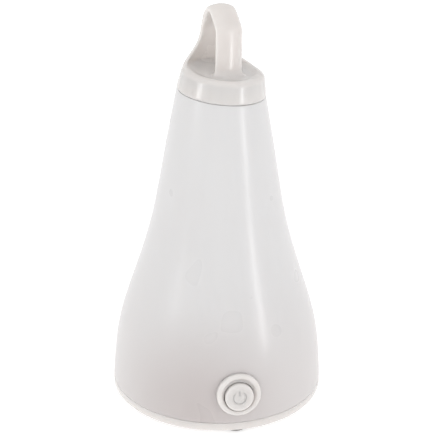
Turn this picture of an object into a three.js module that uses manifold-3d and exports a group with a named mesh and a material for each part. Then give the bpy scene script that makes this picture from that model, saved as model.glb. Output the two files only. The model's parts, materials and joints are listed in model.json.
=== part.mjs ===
// Cool mist humidifier: a tall bell-shaped tank on a low base, with a screw cap that carries a loop handle.
// Millimetres, +Z up. The origin is on the table, under the middle of the base. The front, where the power
// button is, faces -Y. Water fills the bell above the tank floor; the ultrasonic disc, the fan, the float
// valve and the driver board sit in and under that floor.
import * as THREE from 'three';
import { mergeVertices } from 'three/addons/utils/BufferGeometryUtils.js';
import Module from 'manifold-3d';

const wasm = await Module();
wasm.setup();

// ---------------------------------------------------------------- driving dimensions

const clearance = 0.3; // between pieces that touch in the real object
const slide = 0.35; // round a piece that moves

// Bell
const baseRadius = 75;
const footHeight = 2;
const rimHeight = 7; // the visible edge of the base plate
const neckHeight = 224.8; // where the cap meets the bell, on the axis
const neckRadius = 30.2; // outside of the bell there
const flareHeight = 95.6; // where the bell turns from convex to hollow
const flareRadius = 57.5;
const flareSlope = 0.322; // radius lost per millimetre of height, at the flare
const skirtSlope = 0.055; // the same at the bottom edge
const neckSlope = 0.19; // the same at the neck
const shellWall = 2.5;
const neckLean = THREE.MathUtils.degToRad(5.2); // the neck is cut, and the cap stands, at this slant
const leanAzimuth = THREE.MathUtils.degToRad(-12); // side that the cap leans to, from +X

// Cap and handle
const capStep = 0.45; // the cap stands proud of the bell by this much
const capHeight = 15; // seam to the lip of the dish
const dishDepth = 1.5;
const dishRun = 4.5; // the dish falls to its floor over this length
const dishPlate = 2.2; // thickness of the cap's top plate
const handleAzimuth = THREE.MathUtils.degToRad(13); // where the handle's front post stands, from the front
const handleHeight = 57; // seam to the top of the loop
const strapHalfWidth = 9.9;
const strapThickness = 3.6;
const tongueThickness = 2.8;
const footFillet = 5; // where the post stands in the dish
const outletRadius = 6;
const outletPlace = [6.5, 5]; // its centre, beside and behind the cap's axis

// Screw thread of the neck
const threadLead = 4; // rise per turn
const threadTurns = 1.1;
const threadDepth = 1.1;
const neckTubeOuter = 24;
const neckTubeWall = 1.8;
const neckTubeHeight = 5; // above the seam
const shoulderDrop = 5.4; // the tube's shoulder, where the seal lies, below the seam
const sealThickness = 1.4;

// Tank floor, mist hood and chimney
const floorHeight = 60; // underside of the tank floor
const floorThickness = 3;
const basinRadius = 15;
const basinWall = 2.5;
const basinDepth = 8; // floor's underside down to the basin's underside
const hoodHeight = 50; // above the floor, up to the foot of the chimney
const hoodWall = 2;
const chimneyRadius = 12.5;
const chimneyWall = 1.5;
const chimneyDrop = 6; // end of the chimney, below the neck
const airTubeRadius = 7; // tube that leads the fan's air up through the floor
const airTubeTop = 16; // above the floor
const ductWall = 1.6;

// Ultrasonic disc
const discRadius = 10;
const discThickness = 1.2;
const discWindow = 8; // hole under the water
const retainerRadius = 16;
const retainerScrewCircle = 14;

// Float valve
const floatRadius = 8.5;
const floatHeight = 9;
const floatTravel = 5;
const valvePort = 2.8;
const valveStem = 1.3;
const valveSealRadius = 4.6;
const valveWall = 1.6;

// Fan
const fanSize = 40;
const fanDepth = 11;
const fanBottom = 18;
const fanBlades = 7;
const fanHubRadius = 8.5;
const fanShaftRadius = 1.5;

// Button
const buttonHeight = 31; // its centre, above the table
const buttonRadius = 10;
const buttonProud = 4.3; // face of the button, in front of the bell's wall
const buttonTravel = 1.2;
const bezelRadius = 15.4;
const bezelProud = 2.8;
const buttonDrop = 1.3; // the button's centre, below the middle of its ring

// Base plate, feet and screws
const plateThickness = 2.5;
const footRadius = 8;
const footCircle = 64;
const postCircle = 57; // posts of the tank floor that the base screws hold
const postRadius = 4.5;
const screwRadius = 1.5;
const headRadius = 3;

// Power inlet
const jackHeight = 23;
const jackBarrel = 5; // radius of its nose in the wall of the bell

const round = 32; // sides of a large round piece
const medium = 20; // sides of one as wide as the chimney
const small = 12; // sides of a small one
const tiny = 8; // sides of a screw or its hole

// ---------------------------------------------------------------- sizes that follow

const seamHeight = footHeight + rimHeight;
const shellBottom = seamHeight + clearance;
const floorTop = floorHeight + floorThickness;
const capRadius = neckRadius + capStep;
const dishFloor = capHeight - dishDepth;
const plateUnder = dishFloor - dishPlate;

// Under the floor the float valve's cup stands on one side of the basin and the fan's duct on the other.
const basinOuter = basinRadius + basinWall;
const airTubeX = basinOuter + ductWall + airTubeRadius + 3 * clearance;
const floatX = -(basinOuter + clearance + valveWall + 1 + valveSealRadius);
const hoodRadius = airTubeX + airTubeRadius + hoodWall + 2;
const hoodFlange = 3;
const valveInletX = -(hoodRadius + hoodFlange + valvePort + 2); // outside the hood, in the tank

const lowerBell = new THREE.CubicBezierCurve(
  new THREE.Vector2(baseRadius, shellBottom),
  new THREE.Vector2(baseRadius - skirtSlope * 0.51 * (flareHeight - shellBottom),
    shellBottom + 0.51 * (flareHeight - shellBottom)),
  new THREE.Vector2(flareRadius + flareSlope * 0.42 * (flareHeight - shellBottom),
    flareHeight - 0.42 * (flareHeight - shellBottom)),
  new THREE.Vector2(flareRadius, flareHeight),
);
const upperBell = new THREE.CubicBezierCurve(
  new THREE.Vector2(flareRadius, flareHeight),
  new THREE.Vector2(flareRadius - flareSlope * 0.365 * (neckHeight - flareHeight),
    flareHeight + 0.365 * (neckHeight - flareHeight)),
  new THREE.Vector2(neckRadius + neckSlope * 0.61 * (neckHeight - flareHeight),
    neckHeight - 0.61 * (neckHeight - flareHeight)),
  new THREE.Vector2(neckRadius, neckHeight),
);

/** Outer radius of the bell at a height; above the neck its slope runs on. */
function bellRadius(height) {
  if (height <= shellBottom) return baseRadius;
  if (height >= neckHeight) return neckRadius - neckSlope * (height - neckHeight);
  const curve = height < flareHeight ? lowerBell : upperBell;
  let low = 0;
  let high = 1;
  for (let step = 0; step < 30; step++) {
    const middle = (low + high) / 2;
    if (curve.getPoint(middle).y < height) low = middle;
    else high = middle;
  }
  return curve.getPoint(low).x;
}

// ---------------------------------------------------------------- shapes

/** Outline through corners [x, y, radius]; a radius rounds its corner with an arc. */
function outline(corners, arcSteps = 1) {
  return corners.flatMap(([x, y, radius = 0], index) => {
    const corner = new THREE.Vector2(x, y);
    if (radius === 0) return [corner];
    const [beforeX, beforeY] = corners.at(index - 1);
    const [afterX, afterY] = corners[(index + 1) % corners.length];
    const back = new THREE.Vector2(beforeX, beforeY).sub(corner).normalize();
    const ahead = new THREE.Vector2(afterX, afterY).sub(corner).normalize();
    const half = Math.acos(back.dot(ahead)) / 2;
    const centre = back.clone().add(ahead).normalize().multiplyScalar(radius / Math.sin(half)).add(corner);
    const from = back.clone().multiplyScalar(radius / Math.tan(half)).add(corner).sub(centre);
    const to = ahead.clone().multiplyScalar(radius / Math.tan(half)).add(corner).sub(centre);
    const turn = Math.atan2(from.cross(to), from.dot(to));
    return Array.from({ length: arcSteps + 1 }, (_, step) =>
      from.clone().rotateAround(new THREE.Vector2(), (turn * step) / arcSteps).add(centre));
  });
}

/** Solid of revolution about Z. Corners are [radius, z, rounding], anticlockwise, and close on themselves. */
function turned(corners, sides = round, arcSteps = 1) {
  const points = outline(corners, arcSteps);
  return new THREE.LatheGeometry([...points, points[0].clone()], sides).rotateX(Math.PI / 2);
}

/** Upright cylinder or cone frustum from z = low to z = high. */
function cylinder(radius, low, high, sides = small, topRadius = radius) {
  return new THREE.CylinderGeometry(topRadius, radius, high - low, sides)
    .rotateX(Math.PI / 2).translate(0, 0, (low + high) / 2);
}

/** Flat ring from z = low to z = high. */
function ring(inner, outer, low, high, sides = round) {
  return turned([[inner, low], [outer, low], [outer, high], [inner, high]], sides);
}

/** Box from its middle in x and y and its lowest and highest z. */
function block(width, depth, low, high, x = 0, y = 0) {
  return new THREE.BoxGeometry(width, depth, high - low).translate(x, y, (low + high) / 2);
}

/** Skin over rings of points, with a flat end at the first and the last ring. */
function skin(rings) {
  const count = rings[0].length;
  const middleOf = (points) => points.reduce((sum, point) => sum.add(point), new THREE.Vector3())
    .divideScalar(count);
  const points = [...rings.flat(), middleOf(rings[0]), middleOf(rings.at(-1))];
  const index = [];
  for (let row = 0; row + 1 < rings.length; row++) {
    for (let k = 0; k < count; k++) {
      const a = row * count + k;
      const b = row * count + ((k + 1) % count);
      index.push(a, b, b + count, a, b + count, a + count);
    }
  }
  const last = (rings.length - 1) * count;
  for (let k = 0; k < count; k++) {
    index.push(points.length - 2, (k + 1) % count, k);
    index.push(points.length - 1, last + k, last + ((k + 1) % count));
  }
  return new THREE.BufferGeometry().setFromPoints(points).setIndex(index);
}

/** Round cable of 8 sides through points. */
function cable(radius, ...route) {
  const section = new THREE.Shape().absarc(0, 0, radius, 0, 2 * Math.PI);
  const path = new THREE.CatmullRomCurve3(route.map((point) => new THREE.Vector3(...point)));
  return new THREE.ExtrudeGeometry(section, { steps: 4 * route.length, curveSegments: 4, extrudePath: path });
}

const toSolid = (geometry) => {
  const bare = geometry.clone();
  bare.deleteAttribute('normal');
  bare.deleteAttribute('uv');
  const merged = mergeVertices(bare, 1e-4);
  return new wasm.Manifold(new wasm.Mesh({
    numProp: 3,
    vertProperties: merged.attributes.position.array,
    triVerts: new Uint32Array(merged.index.array),
  }));
};

const toGeometry = (solid) => {
  const mesh = solid.getMesh();
  const geometry = new THREE.BufferGeometry();
  geometry.setAttribute('position', new THREE.BufferAttribute(mesh.vertProperties, 3));
  geometry.setIndex(new THREE.BufferAttribute(mesh.triVerts, 1));
  return geometry;
};

const join = (...pieces) => toGeometry(pieces.map(toSolid).reduce((sum, piece) => sum.add(piece)));
const cut = (piece, ...cutters) => toGeometry(cutters.map(toSolid)
  .reduce((rest, cutter) => rest.subtract(cutter), toSolid(piece)));
const common = (a, b) => toGeometry(toSolid(a).intersect(toSolid(b)));

/** The same piece without the pinholes that can stay sealed where two curved walls are joined. */
const filled = (piece) => toGeometry(toSolid(piece).decompose().filter((body) => body.volume() > 0)
  .reduce((sum, body) => sum.add(body)));

// ---------------------------------------------------------------- finishes

const finish = (color, roughness, metalness = 0) => ({ color, roughness, metalness });
const milky = finish('#e4e1e2', 0.35);
const glossWhite = finish('#dedbda', 0.25);
const innerWhite = finish('#eceae6', 0.5);
const silicone = finish('#cfcfcc', 0.7);
const rubber = finish('#5a5b5c', 0.85);
const steel = finish('#b9bcc0', 0.35, 1);
const brass = finish('#c9a45c', 0.35, 1);
const blackPlastic = finish('#1d1e20', 0.5);
const boardGreen = finish('#2f6b45', 0.5);
const copper = finish('#b26a3c', 0.4, 1);
const aluminium = finish('#c8cacd', 0.4, 1);
const cableGrey = finish('#3b3d40', 0.6);
const lensWhite = finish('#f4f2ea', 0.2);

// ---------------------------------------------------------------- scene graph

const humidifier = new THREE.Group();
const neck = new THREE.Group(); // the cap's own frame: origin on the seam, Z along the cap's axis
neck.rotation.set(0, 0, leanAzimuth);
const leaning = new THREE.Group();
leaning.position.set(0, 0, neckHeight);
leaning.rotation.set(0, neckLean, 0);
const handleFrame = new THREE.Group(); // -Y is the handle's front
handleFrame.rotation.set(0, 0, handleAzimuth - leanAzimuth);
humidifier.add(neck);
neck.add(leaning);
leaning.add(handleFrame);

/** Puts a named piece in a group, at a place and a turn in that group's frame. */
function add(name, geometry, look, group = humidifier, position = [0, 0, 0], rotation = [0, 0, 0]) {
  const mesh = new THREE.Mesh(geometry, new THREE.MeshStandardMaterial(look));
  mesh.name = name;
  mesh.position.set(...position);
  mesh.rotation.set(...rotation);
  group.add(mesh);
}

/** Moves a geometry from the neck's leaning frame into the object's frame. */
const fromNeck = (geometry) => {
  humidifier.updateMatrixWorld(true);
  return geometry.applyMatrix4(leaning.matrixWorld);
};

/** Moves a geometry from the object's frame into the neck's leaning frame. */
const intoNeck = (geometry) => {
  humidifier.updateMatrixWorld(true);
  return geometry.applyMatrix4(leaning.matrixWorld.clone().invert());
};

// The slant cuts a round opening whose middle lies beside the axis, because the bell tapers.
const neckShift = neckRadius * Math.tan(neckLean) * neckSlope;

// ---------------------------------------------------------------- bell

const overNeck = neckHeight + neckRadius * Math.sin(neckLean) + 4; // clear above the slanted cut
const bellSteps = 17;
const stepHeight = (overNeck - shellBottom) / bellSteps;

/** Radius of the bell's facets, straight between its steps, so that what is cut to fit is parallel to it. */
function wallRadius(height) {
  const step = THREE.MathUtils.clamp(Math.floor((height - shellBottom) / stepHeight), 0, bellSteps - 1);
  const from = shellBottom + step * stepHeight;
  const share = Math.max(0, (height - from) / stepHeight);
  return THREE.MathUtils.lerp(bellRadius(from), bellRadius(from + stepHeight), share);
}

/** Solid of revolution within the bell's outside, moved in by an offset, between two heights. */
function bellSolid(offset, low, high) {
  const steps = Array.from({ length: bellSteps + 1 }, (_, step) => shellBottom + step * stepHeight);
  const heights = [low, ...steps.filter((height) => height > low && height < high), high];
  const wall = heights.map((height) => new THREE.Vector2(wallRadius(height) - offset, height));
  return new THREE.LatheGeometry([new THREE.Vector2(0, low), ...wall, new THREE.Vector2(0, high)], round)
    .rotateX(Math.PI / 2);
}

const aboveSeam = (gap) => fromNeck(block(4 * neckRadius, 4 * neckRadius, -gap, 4 * capHeight));

/** Hole across the bell's wall for the button, or for the power inlet behind. */
const wallHole = (radius, height, facing) => cylinder(radius, baseRadius - 25, baseRadius + 15, round)
  .rotateX(Math.PI / 2 * facing).translate(0, 0, height);

const buttonWall = bellRadius(buttonHeight); // outside of the bell at the button's height
const buttonTilt = Math.atan((bellRadius(buttonHeight - 5) - bellRadius(buttonHeight + 5)) / 10);
add('bell_shell', cut(
  bellSolid(0, shellBottom, overNeck),
  bellSolid(shellWall, shellBottom - 5, overNeck + 5),
  aboveSeam(clearance / 2),
  wallHole(buttonRadius + 2.6, buttonHeight - buttonDrop, 1),
  wallHole(jackBarrel + clearance, jackHeight, -1),
), milky);

// ---------------------------------------------------------------- neck with its thread

/** Screw ridge: a trapezium that climbs round Z, pointing out (side 1) or in (side -1) from a radius. */
function thread(radius, side, start, phase) {
  const stepsPerTurn = 20;
  const steps = Math.round(threadTurns * stepsPerTurn);
  const rootHalf = 0.75;
  const crestHalf = 0.35;
  const bury = 0.4; // how far the ridge is sunk into its wall
  const profile = [[-bury, -rootHalf], [0, -rootHalf], [threadDepth, -crestHalf],
    [threadDepth, crestHalf], [0, rootHalf], [-bury, rootHalf]];
  const rings = [];
  for (let step = 0; step <= steps; step++) {
    const turn = (2 * Math.PI * step) / stepsPerTurn;
    const height = start + (threadLead * turn) / (2 * Math.PI);
    const section = profile.map(([out, up]) => new THREE.Vector3(
      (radius + side * out) * Math.cos(turn + phase),
      (radius + side * out) * Math.sin(turn + phase),
      height + up,
    ));
    rings.push(side > 0 ? section.reverse() : section);
  }
  return skin(rings);
}

const collarDrop = 10; // how far the collar reaches into the bell
const neckBore = neckTubeOuter - neckTubeWall;
const collar = turned([
  [neckBore, -collarDrop], [neckRadius + 5, -collarDrop], [neckRadius + 5, -shoulderDrop],
  [neckTubeOuter, -shoulderDrop], [neckTubeOuter, neckTubeHeight, 0.5], [neckBore, neckTubeHeight, 0.5],
]).translate(neckShift, 0, 0);
const threadStart = -2; // middle of the ridge's first end, from the seam
add('neck_collar', common(
  join(collar, thread(neckTubeOuter, 1, threadStart, 0).translate(neckShift, 0, 0)),
  intoNeck(bellSolid(shellWall + clearance, neckHeight - 4 * collarDrop, overNeck + 3 * capHeight)),
), innerWhite, leaning);

const cap = new THREE.Group(); // frame of the cap: on its axis, -Y to the handle's front
cap.position.set(neckShift * Math.cos(handleFrame.rotation.z), -neckShift * Math.sin(handleFrame.rotation.z), 0);
handleFrame.add(cap);

const linerBore = neckTubeOuter + threadDepth + slide;
const linerOuter = neckRadius - shellWall - clearance - slide; // passes through the top of the bell
const linerBottom = sealThickness + 2 * clearance - shoulderDrop;
const linerTop = plateUnder - clearance;
const liner = ring(linerBore, linerOuter, linerBottom, linerTop);
const linerStart = linerBottom + 1;
// The cap's ridge runs half a lead above the neck's, wherever the cap has come to rest.
const linerPhase = (2 * Math.PI * (linerStart - threadStart - threadLead / 2)) / threadLead
  - handleFrame.rotation.z;
add('cap_liner', join(liner, thread(linerBore, -1, linerStart, linerPhase)), innerWhite, cap);

// The seal slides up past the neck's ridge, so its bore is the liner's.
add('cap_seal', ring(linerBore, linerOuter, clearance - shoulderDrop, linerBottom - clearance),
  silicone, cap);

// ---------------------------------------------------------------- cap and handle

const capOuter = (height) => capRadius - neckSlope * height; // the cap goes on with the bell's slope

// Outer face of the handle, seen from its side: [reach towards the front, height above the seam].
const handleSide = new THREE.CatmullRomCurve3([
  [-capOuter(dishFloor), dishFloor - 1], [-capOuter(16), 16], [-26, 25], [-24.7, 34], [-23.7, 43],
  [-20.8, 51.6], [-15.2, handleHeight - 0.4], [-10, 55.4], [-1.4, 49.6], [3.8, 44.6], [6, 37], [8.3, 26],
  [9.5, dishFloor + footFillet], [10.1, dishFloor + 2.5], [10.6, dishFloor - 0.8],
].map(([reach, height]) => new THREE.Vector3(0, -reach, height)), false, 'centripetal');
const tongueTop = 46; // the rear wall has become the strap by this height

/** Half width of the tongue that rises from the cap's rear wall, by height, down to the strap's own. */
function tongueHalfWidth(height) {
  const spread = THREE.MathUtils.clamp((37 - height) / (37 - capHeight), 0, 1);
  return strapHalfWidth + (capOuter(capHeight) - 0.5 - strapHalfWidth) * spread ** 2.6;
}

/** One cross-section of the handle: a band bent round the cap's axis at the foot and gently on the strap. */
function handleSection(share) {
  const outer = handleSide.getPointAt(share);
  const tangent = handleSide.getTangentAt(share);
  const onRear = outer.y > 0 && outer.z < tongueTop;
  const level = onRear ? THREE.MathUtils.clamp((tongueTop - outer.z) / 8, 0, 1) : 0; // 1: lies flat
  const drop = onRear ? 0 : THREE.MathUtils.clamp(dishFloor + footFillet - outer.z, 0, footFillet);
  const normal = new THREE.Vector3(0, tangent.z, -tangent.y); // out of the loop
  normal.lerp(new THREE.Vector3(0, Math.sign(outer.y), 0), Math.max(level, drop / footFillet)).normalize();
  const bend = THREE.MathUtils.lerp(22, outer.y, level * level);
  const flare = footFillet - Math.sqrt(footFillet ** 2 - drop ** 2) * 0.995; // round the foot of the post
  const halfWidth = onRear ? tongueHalfWidth(outer.z) : strapHalfWidth;
  const thickness = THREE.MathUtils.lerp(strapThickness, tongueThickness, level);
  const reach = Math.asin(Math.min((halfWidth + 0.6 * flare) / bend, 0.985));
  const across = 6;
  const point = (angle, depth) => new THREE.Vector3((bend - Math.max(depth, 0)) * Math.sin(angle), 0, 0)
    .addScaledVector(normal, (bend - depth) * Math.cos(angle) - bend).add(outer);
  const face = (depth) => Array.from({ length: across + 1 }, (_, k) =>
    point(reach * (1 - (2 * k) / across), depth));
  const edge = (side) => point(reach * side * 1.03, thickness / 2);
  return [...face(-flare), edge(-1), ...face(thickness + 0.7 * flare).reverse(), edge(1)];
}

const handleStations = 34;
const handle = skin(Array.from({ length: handleStations + 1 }, (_, k) => handleSection(k / handleStations)));

const lipWidth = 4.4;
const shoulderRound = 4;
const capInner = linerOuter + clearance;
const capDrum = turned([
  [capInner, clearance / 2],
  [capRadius, clearance / 2, 0.4],
  [capOuter(capHeight), capHeight, shoulderRound],
  [capOuter(capHeight) - lipWidth, capHeight, 6],
  [capOuter(capHeight) - lipWidth - dishRun, dishFloor, 8],
  [0, dishFloor],
  [0, plateUnder],
  [capInner, plateUnder],
], round, 3);
add('cap_handle', cut(
  filled(join(capDrum, handle)),
  cylinder(outletRadius + clearance, plateUnder - 3, dishFloor + 3).translate(...outletPlace, 0),
), glossWhite, cap);

const nozzleBore = outletRadius - 1.2;
const nozzleLow = plateUnder - 1.6;
const nozzleTop = dishFloor - 0.3;
add('mist_nozzle', join(
  turned([[nozzleBore, nozzleLow], [outletRadius + 1.6, nozzleLow], [outletRadius + 1.6, plateUnder - clearance],
    [outletRadius, plateUnder - clearance], [outletRadius, nozzleTop], [nozzleBore, nozzleTop]], medium),
  block(2 * nozzleBore + 1, 1.5, nozzleLow, nozzleLow + 2),
  block(1.5, 2 * nozzleBore + 1, nozzleLow, nozzleLow + 2),
), glossWhite, cap, [...outletPlace, 0]);

// ---------------------------------------------------------------- tank floor and what stands on it

const around = (count, radius, start = 0) => Array.from({ length: count }, (_, k) => {
  const angle = start + (2 * Math.PI * k) / count;
  return [radius * Math.cos(angle), radius * Math.sin(angle)];
});
const posts = around(4, postCircle, Math.PI / 4);
const edgeHeight = 8; // height of the floor's edge that is glued to the bell
const basinBottom = floorHeight - basinDepth;
const floorBlank = common(
  cut(
    cylinder(baseRadius, floorHeight, floorTop + edgeHeight, round),
    bellSolid(shellWall + clearance + 2, floorTop, floorTop + 3 * edgeHeight),
  ),
  bellSolid(shellWall + clearance, floorHeight - 5, floorTop + 4 * edgeHeight),
);
const postBottom = seamHeight + 3;
const retainerScrews = around(3, retainerScrewCircle, Math.PI / 2);
add('tank_floor', cut(
  join(
    floorBlank,
    cylinder(basinOuter, basinBottom, floorHeight + 1, medium),
    cylinder(airTubeRadius, floorHeight - 12, floorTop + airTubeTop, small).translate(airTubeX, 0, 0),
    ...posts.map(([x, y]) => cylinder(postRadius, postBottom, floorHeight + 1, small).translate(x, y, 0)),
  ),
  cylinder(basinRadius, basinBottom + 3, floorTop + 1, medium),
  cylinder(discWindow, basinBottom - 1, basinBottom + 4, small),
  cylinder(airTubeRadius - 1.5, floorHeight - 13, floorTop + airTubeTop + 1, small).translate(airTubeX, 0, 0),
  cylinder(valvePort, floorHeight - 1, floorTop + 1).translate(floatX, 0, 0),
  cylinder(valvePort, floorHeight - 1, floorTop + 1).translate(valveInletX, 0, 0),
  ...posts.map(([x, y]) => cylinder(screwRadius + clearance, postBottom - 1, postBottom + 12, tiny)
    .translate(x, y, 0)),
  ...retainerScrews.map(([x, y]) => cylinder(1 + clearance, basinBottom - 1, basinBottom + 2.4, tiny)
    .translate(x, y, 0)),
), innerWhite);

const hoodTop = floorTop + hoodHeight;
const sealHeight = 1.5;
const hoodBottom = floorTop + sealHeight + 2 * clearance;
add('hood_seal', ring(hoodRadius - hoodWall, hoodRadius + 1.5, floorTop + clearance,
  floorTop + clearance + sealHeight), silicone);
add('mist_hood', turned([
  [hoodRadius - hoodWall, hoodBottom], [hoodRadius + hoodFlange, hoodBottom],
  [hoodRadius + hoodFlange, hoodBottom + 2], [hoodRadius, hoodBottom + 2],
  [hoodRadius, hoodTop - 22, 9], [chimneyRadius + hoodWall + clearance, hoodTop, 8],
  [chimneyRadius + hoodWall + clearance, hoodTop + 10], [chimneyRadius + clearance, hoodTop + 10],
  [chimneyRadius + clearance, hoodTop + 1, 7], [hoodRadius - hoodWall, hoodTop - 23.4, 8],
], medium), innerWhite);
add('mist_chimney', turned([
  [chimneyRadius - chimneyWall, hoodTop + 2], [chimneyRadius, hoodTop + 2],
  [chimneyRadius, hoodTop + 10 + clearance], [chimneyRadius + 2, hoodTop + 10 + clearance],
  [chimneyRadius + 2, hoodTop + 12], [chimneyRadius, hoodTop + 12],
  [chimneyRadius, neckHeight - chimneyDrop], [chimneyRadius - chimneyWall, neckHeight - chimneyDrop],
], medium), innerWhite);

// ---------------------------------------------------------------- ultrasonic disc

const discMiddle = basinBottom - clearance - 1.6;
add('transducer_seal', turned([
  [discWindow, basinBottom - clearance - 3.2], [discRadius + 2, basinBottom - clearance - 3.2],
  [discRadius + 2, basinBottom - clearance], [discWindow, basinBottom - clearance],
  [discWindow, discMiddle + discThickness / 2 + clearance],
  [discRadius + clearance, discMiddle + discThickness / 2 + clearance],
  [discRadius + clearance, discMiddle - discThickness / 2 - clearance],
  [discWindow, discMiddle - discThickness / 2 - clearance],
], medium), silicone);
add('transducer_disc', cylinder(discRadius, discMiddle - discThickness / 2, discMiddle + discThickness / 2,
  medium), brass);

const retainerTop = basinBottom - 3.2 - 2 * clearance;
const retainerLow = retainerTop - 2;
add('transducer_retainer', cut(
  join(
    ring(discWindow - 1, retainerRadius, retainerLow, retainerTop, medium),
    ring(discRadius + 2 + clearance, retainerRadius, retainerTop - 1, basinBottom - clearance, medium),
  ),
  ...retainerScrews.map(([x, y]) => cylinder(1 + clearance, retainerLow - 1, basinBottom, tiny)
    .translate(x, y, 0)),
), innerWhite);
retainerScrews.forEach(([x, y], index) => {
  add(`retainer_screw_${index + 1}`, join(
    cylinder(2, retainerLow - clearance - 1.4, retainerLow - clearance, tiny),
    cylinder(1, retainerLow - clearance - 1, basinBottom + 2, tiny),
  ), steel, humidifier, [x, y, 0]);
});

// ---------------------------------------------------------------- float valve

const floatLow = floorTop + 2.5;
const cageBore = floatRadius + slide + 0.3;
const cageHeight = floatHeight + floatTravel + 4;
add('float_cage', cut(
  ring(cageBore, cageBore + 1.5, floorTop + clearance, floorTop + cageHeight, medium),
  ...[0, Math.PI / 2].map((turn) => block(3 * cageBore, 6, floorTop + 3, floorTop + cageHeight - 4)
    .rotateZ(turn + Math.PI / 4)),
), innerWhite, humidifier, [floatX, 0, 0]);

const sealTop = floorHeight - floatTravel - clearance;
add('float_body', join(
  turned([[0, floatLow], [floatRadius, floatLow, 1.5], [floatRadius, floatLow + floatHeight, 1.5],
    [0, floatLow + floatHeight]], small),
  cylinder(valveStem, sealTop - 4, floatLow + 1, tiny),
), innerWhite, humidifier, [floatX, 0, 0]);
add('valve_seal', turned([[valveStem + clearance, sealTop - 1.8], [valveSealRadius, sealTop - 1.8],
  [valveSealRadius, sealTop], [valveStem + clearance, sealTop]], small), silicone, humidifier, [floatX, 0, 0]);
add('valve_clip', turned([[valveStem + clearance, sealTop - 3.2], [valveStem + 1.6, sealTop - 3.2],
  [valveStem + 1.6, sealTop - 2.1], [valveStem + clearance, sealTop - 2.1]], tiny),
steel, humidifier, [floatX, 0, 0]);

const cupLow = sealTop - 8;
const cupFrom = valveInletX - valvePort - 1;
const cupTo = floatX + valveSealRadius + 1;
const cupHalf = valveSealRadius + 1;
const cupBlock = (wall, low, high) => block(cupTo - cupFrom + 2 * wall, 2 * (cupHalf + wall), low, high,
  (cupFrom + cupTo) / 2);
add('valve_cup', cut(
  cupBlock(valveWall, cupLow, floorHeight - clearance),
  cupBlock(0, cupLow + valveWall, floorHeight),
), innerWhite);

// ---------------------------------------------------------------- fan

const fanTop = fanBottom + fanDepth;
const fanBore = fanSize / 2 - 1.4;
const fanX = airTubeX;
const rotorRadius = fanBore - 0.9;
const fanScrews = around(4, fanSize * 0.8 / Math.SQRT2, Math.PI / 4);
const spokeHeight = 1.6;
const bushRadius = 3.2;
add('fan_frame', cut(
  join(
    cut(block(fanSize, fanSize, fanBottom, fanTop), cylinder(fanBore, fanBottom - 1, fanTop + 1, medium)),
    ...[0, 1, 2].map((k) => block(2 * fanBore + 1, 2, fanBottom, fanBottom + spokeHeight)
      .rotateZ((k * Math.PI) / 3)),
    cylinder(bushRadius, fanBottom, fanBottom + 6, small),
  ),
  cylinder(fanShaftRadius + 0.15, fanBottom + 1, fanBottom + 7, small),
  ...fanScrews.map(([x, y]) => cylinder(1.7, fanBottom - 1, fanTop + 1, tiny).translate(x, y, 0)),
), blackPlastic, humidifier, [fanX, 0, 0]);

const hubLow = fanBottom + spokeHeight + 0.6;
const hubTop = fanTop - 0.8;
const bladeRoot = fanHubRadius - 0.5;
const blade = (turn) => new THREE.BoxGeometry(rotorRadius - bladeRoot, 1.2, 8.5)
  .translate((rotorRadius + bladeRoot) / 2, 0, 0).rotateX(0.75)
  .translate(0, 0, (hubLow + hubTop) / 2).rotateZ(turn);
add('fan_rotor', cut(
  join(
    cylinder(fanHubRadius, hubLow, hubTop, medium),
    ...Array.from({ length: fanBlades }, (_, k) => blade((2 * Math.PI * k) / fanBlades)),
  ),
  cylinder(bushRadius + 0.8, hubLow - 1, fanBottom + 6.6, small),
  cylinder(fanShaftRadius + 0.05, hubLow, hubTop - 1, small),
), blackPlastic, humidifier, [fanX, 0, 0]);
add('fan_shaft', cylinder(fanShaftRadius, fanBottom + 1.4, hubTop - 1.3, small), steel, humidifier, [fanX, 0, 0]);

const ductTop = floorHeight - 5;
const ductBore = airTubeRadius + clearance;
const ductOuter = ductBore + ductWall;
add('air_duct', cut(
  join(
    block(fanSize, fanSize, fanTop + clearance, fanTop + 2.3),
    turned([[0, fanTop + 1], [fanBore + 1.4, fanTop + 1], [ductOuter, ductTop - 12], [ductOuter, ductTop],
      [0, ductTop]], medium),
  ),
  turned([[0, fanTop], [fanBore, fanTop], [fanBore, fanTop + 1.5], [ductBore, ductTop - 12.5],
    [ductBore, ductTop + 1], [0, ductTop + 1]], medium),
  ...fanScrews.map(([x, y]) => cylinder(1.7, fanTop, fanTop + 4, tiny).translate(x, y, 0)),
), innerWhite, humidifier, [fanX, 0, 0]);

[0, 2].forEach((corner, index) => {
  const [x, y] = fanScrews[corner];
  add(`fan_screw_${index + 1}`, join(
    cylinder(2.7, fanTop + 2.3 + clearance, fanTop + 4.2, tiny),
    cylinder(1.3, fanBottom - 4, fanTop + 3, tiny),
  ), steel, humidifier, [fanX + x, y, 0]);
});

// ---------------------------------------------------------------- base plate, feet, screws

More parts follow.
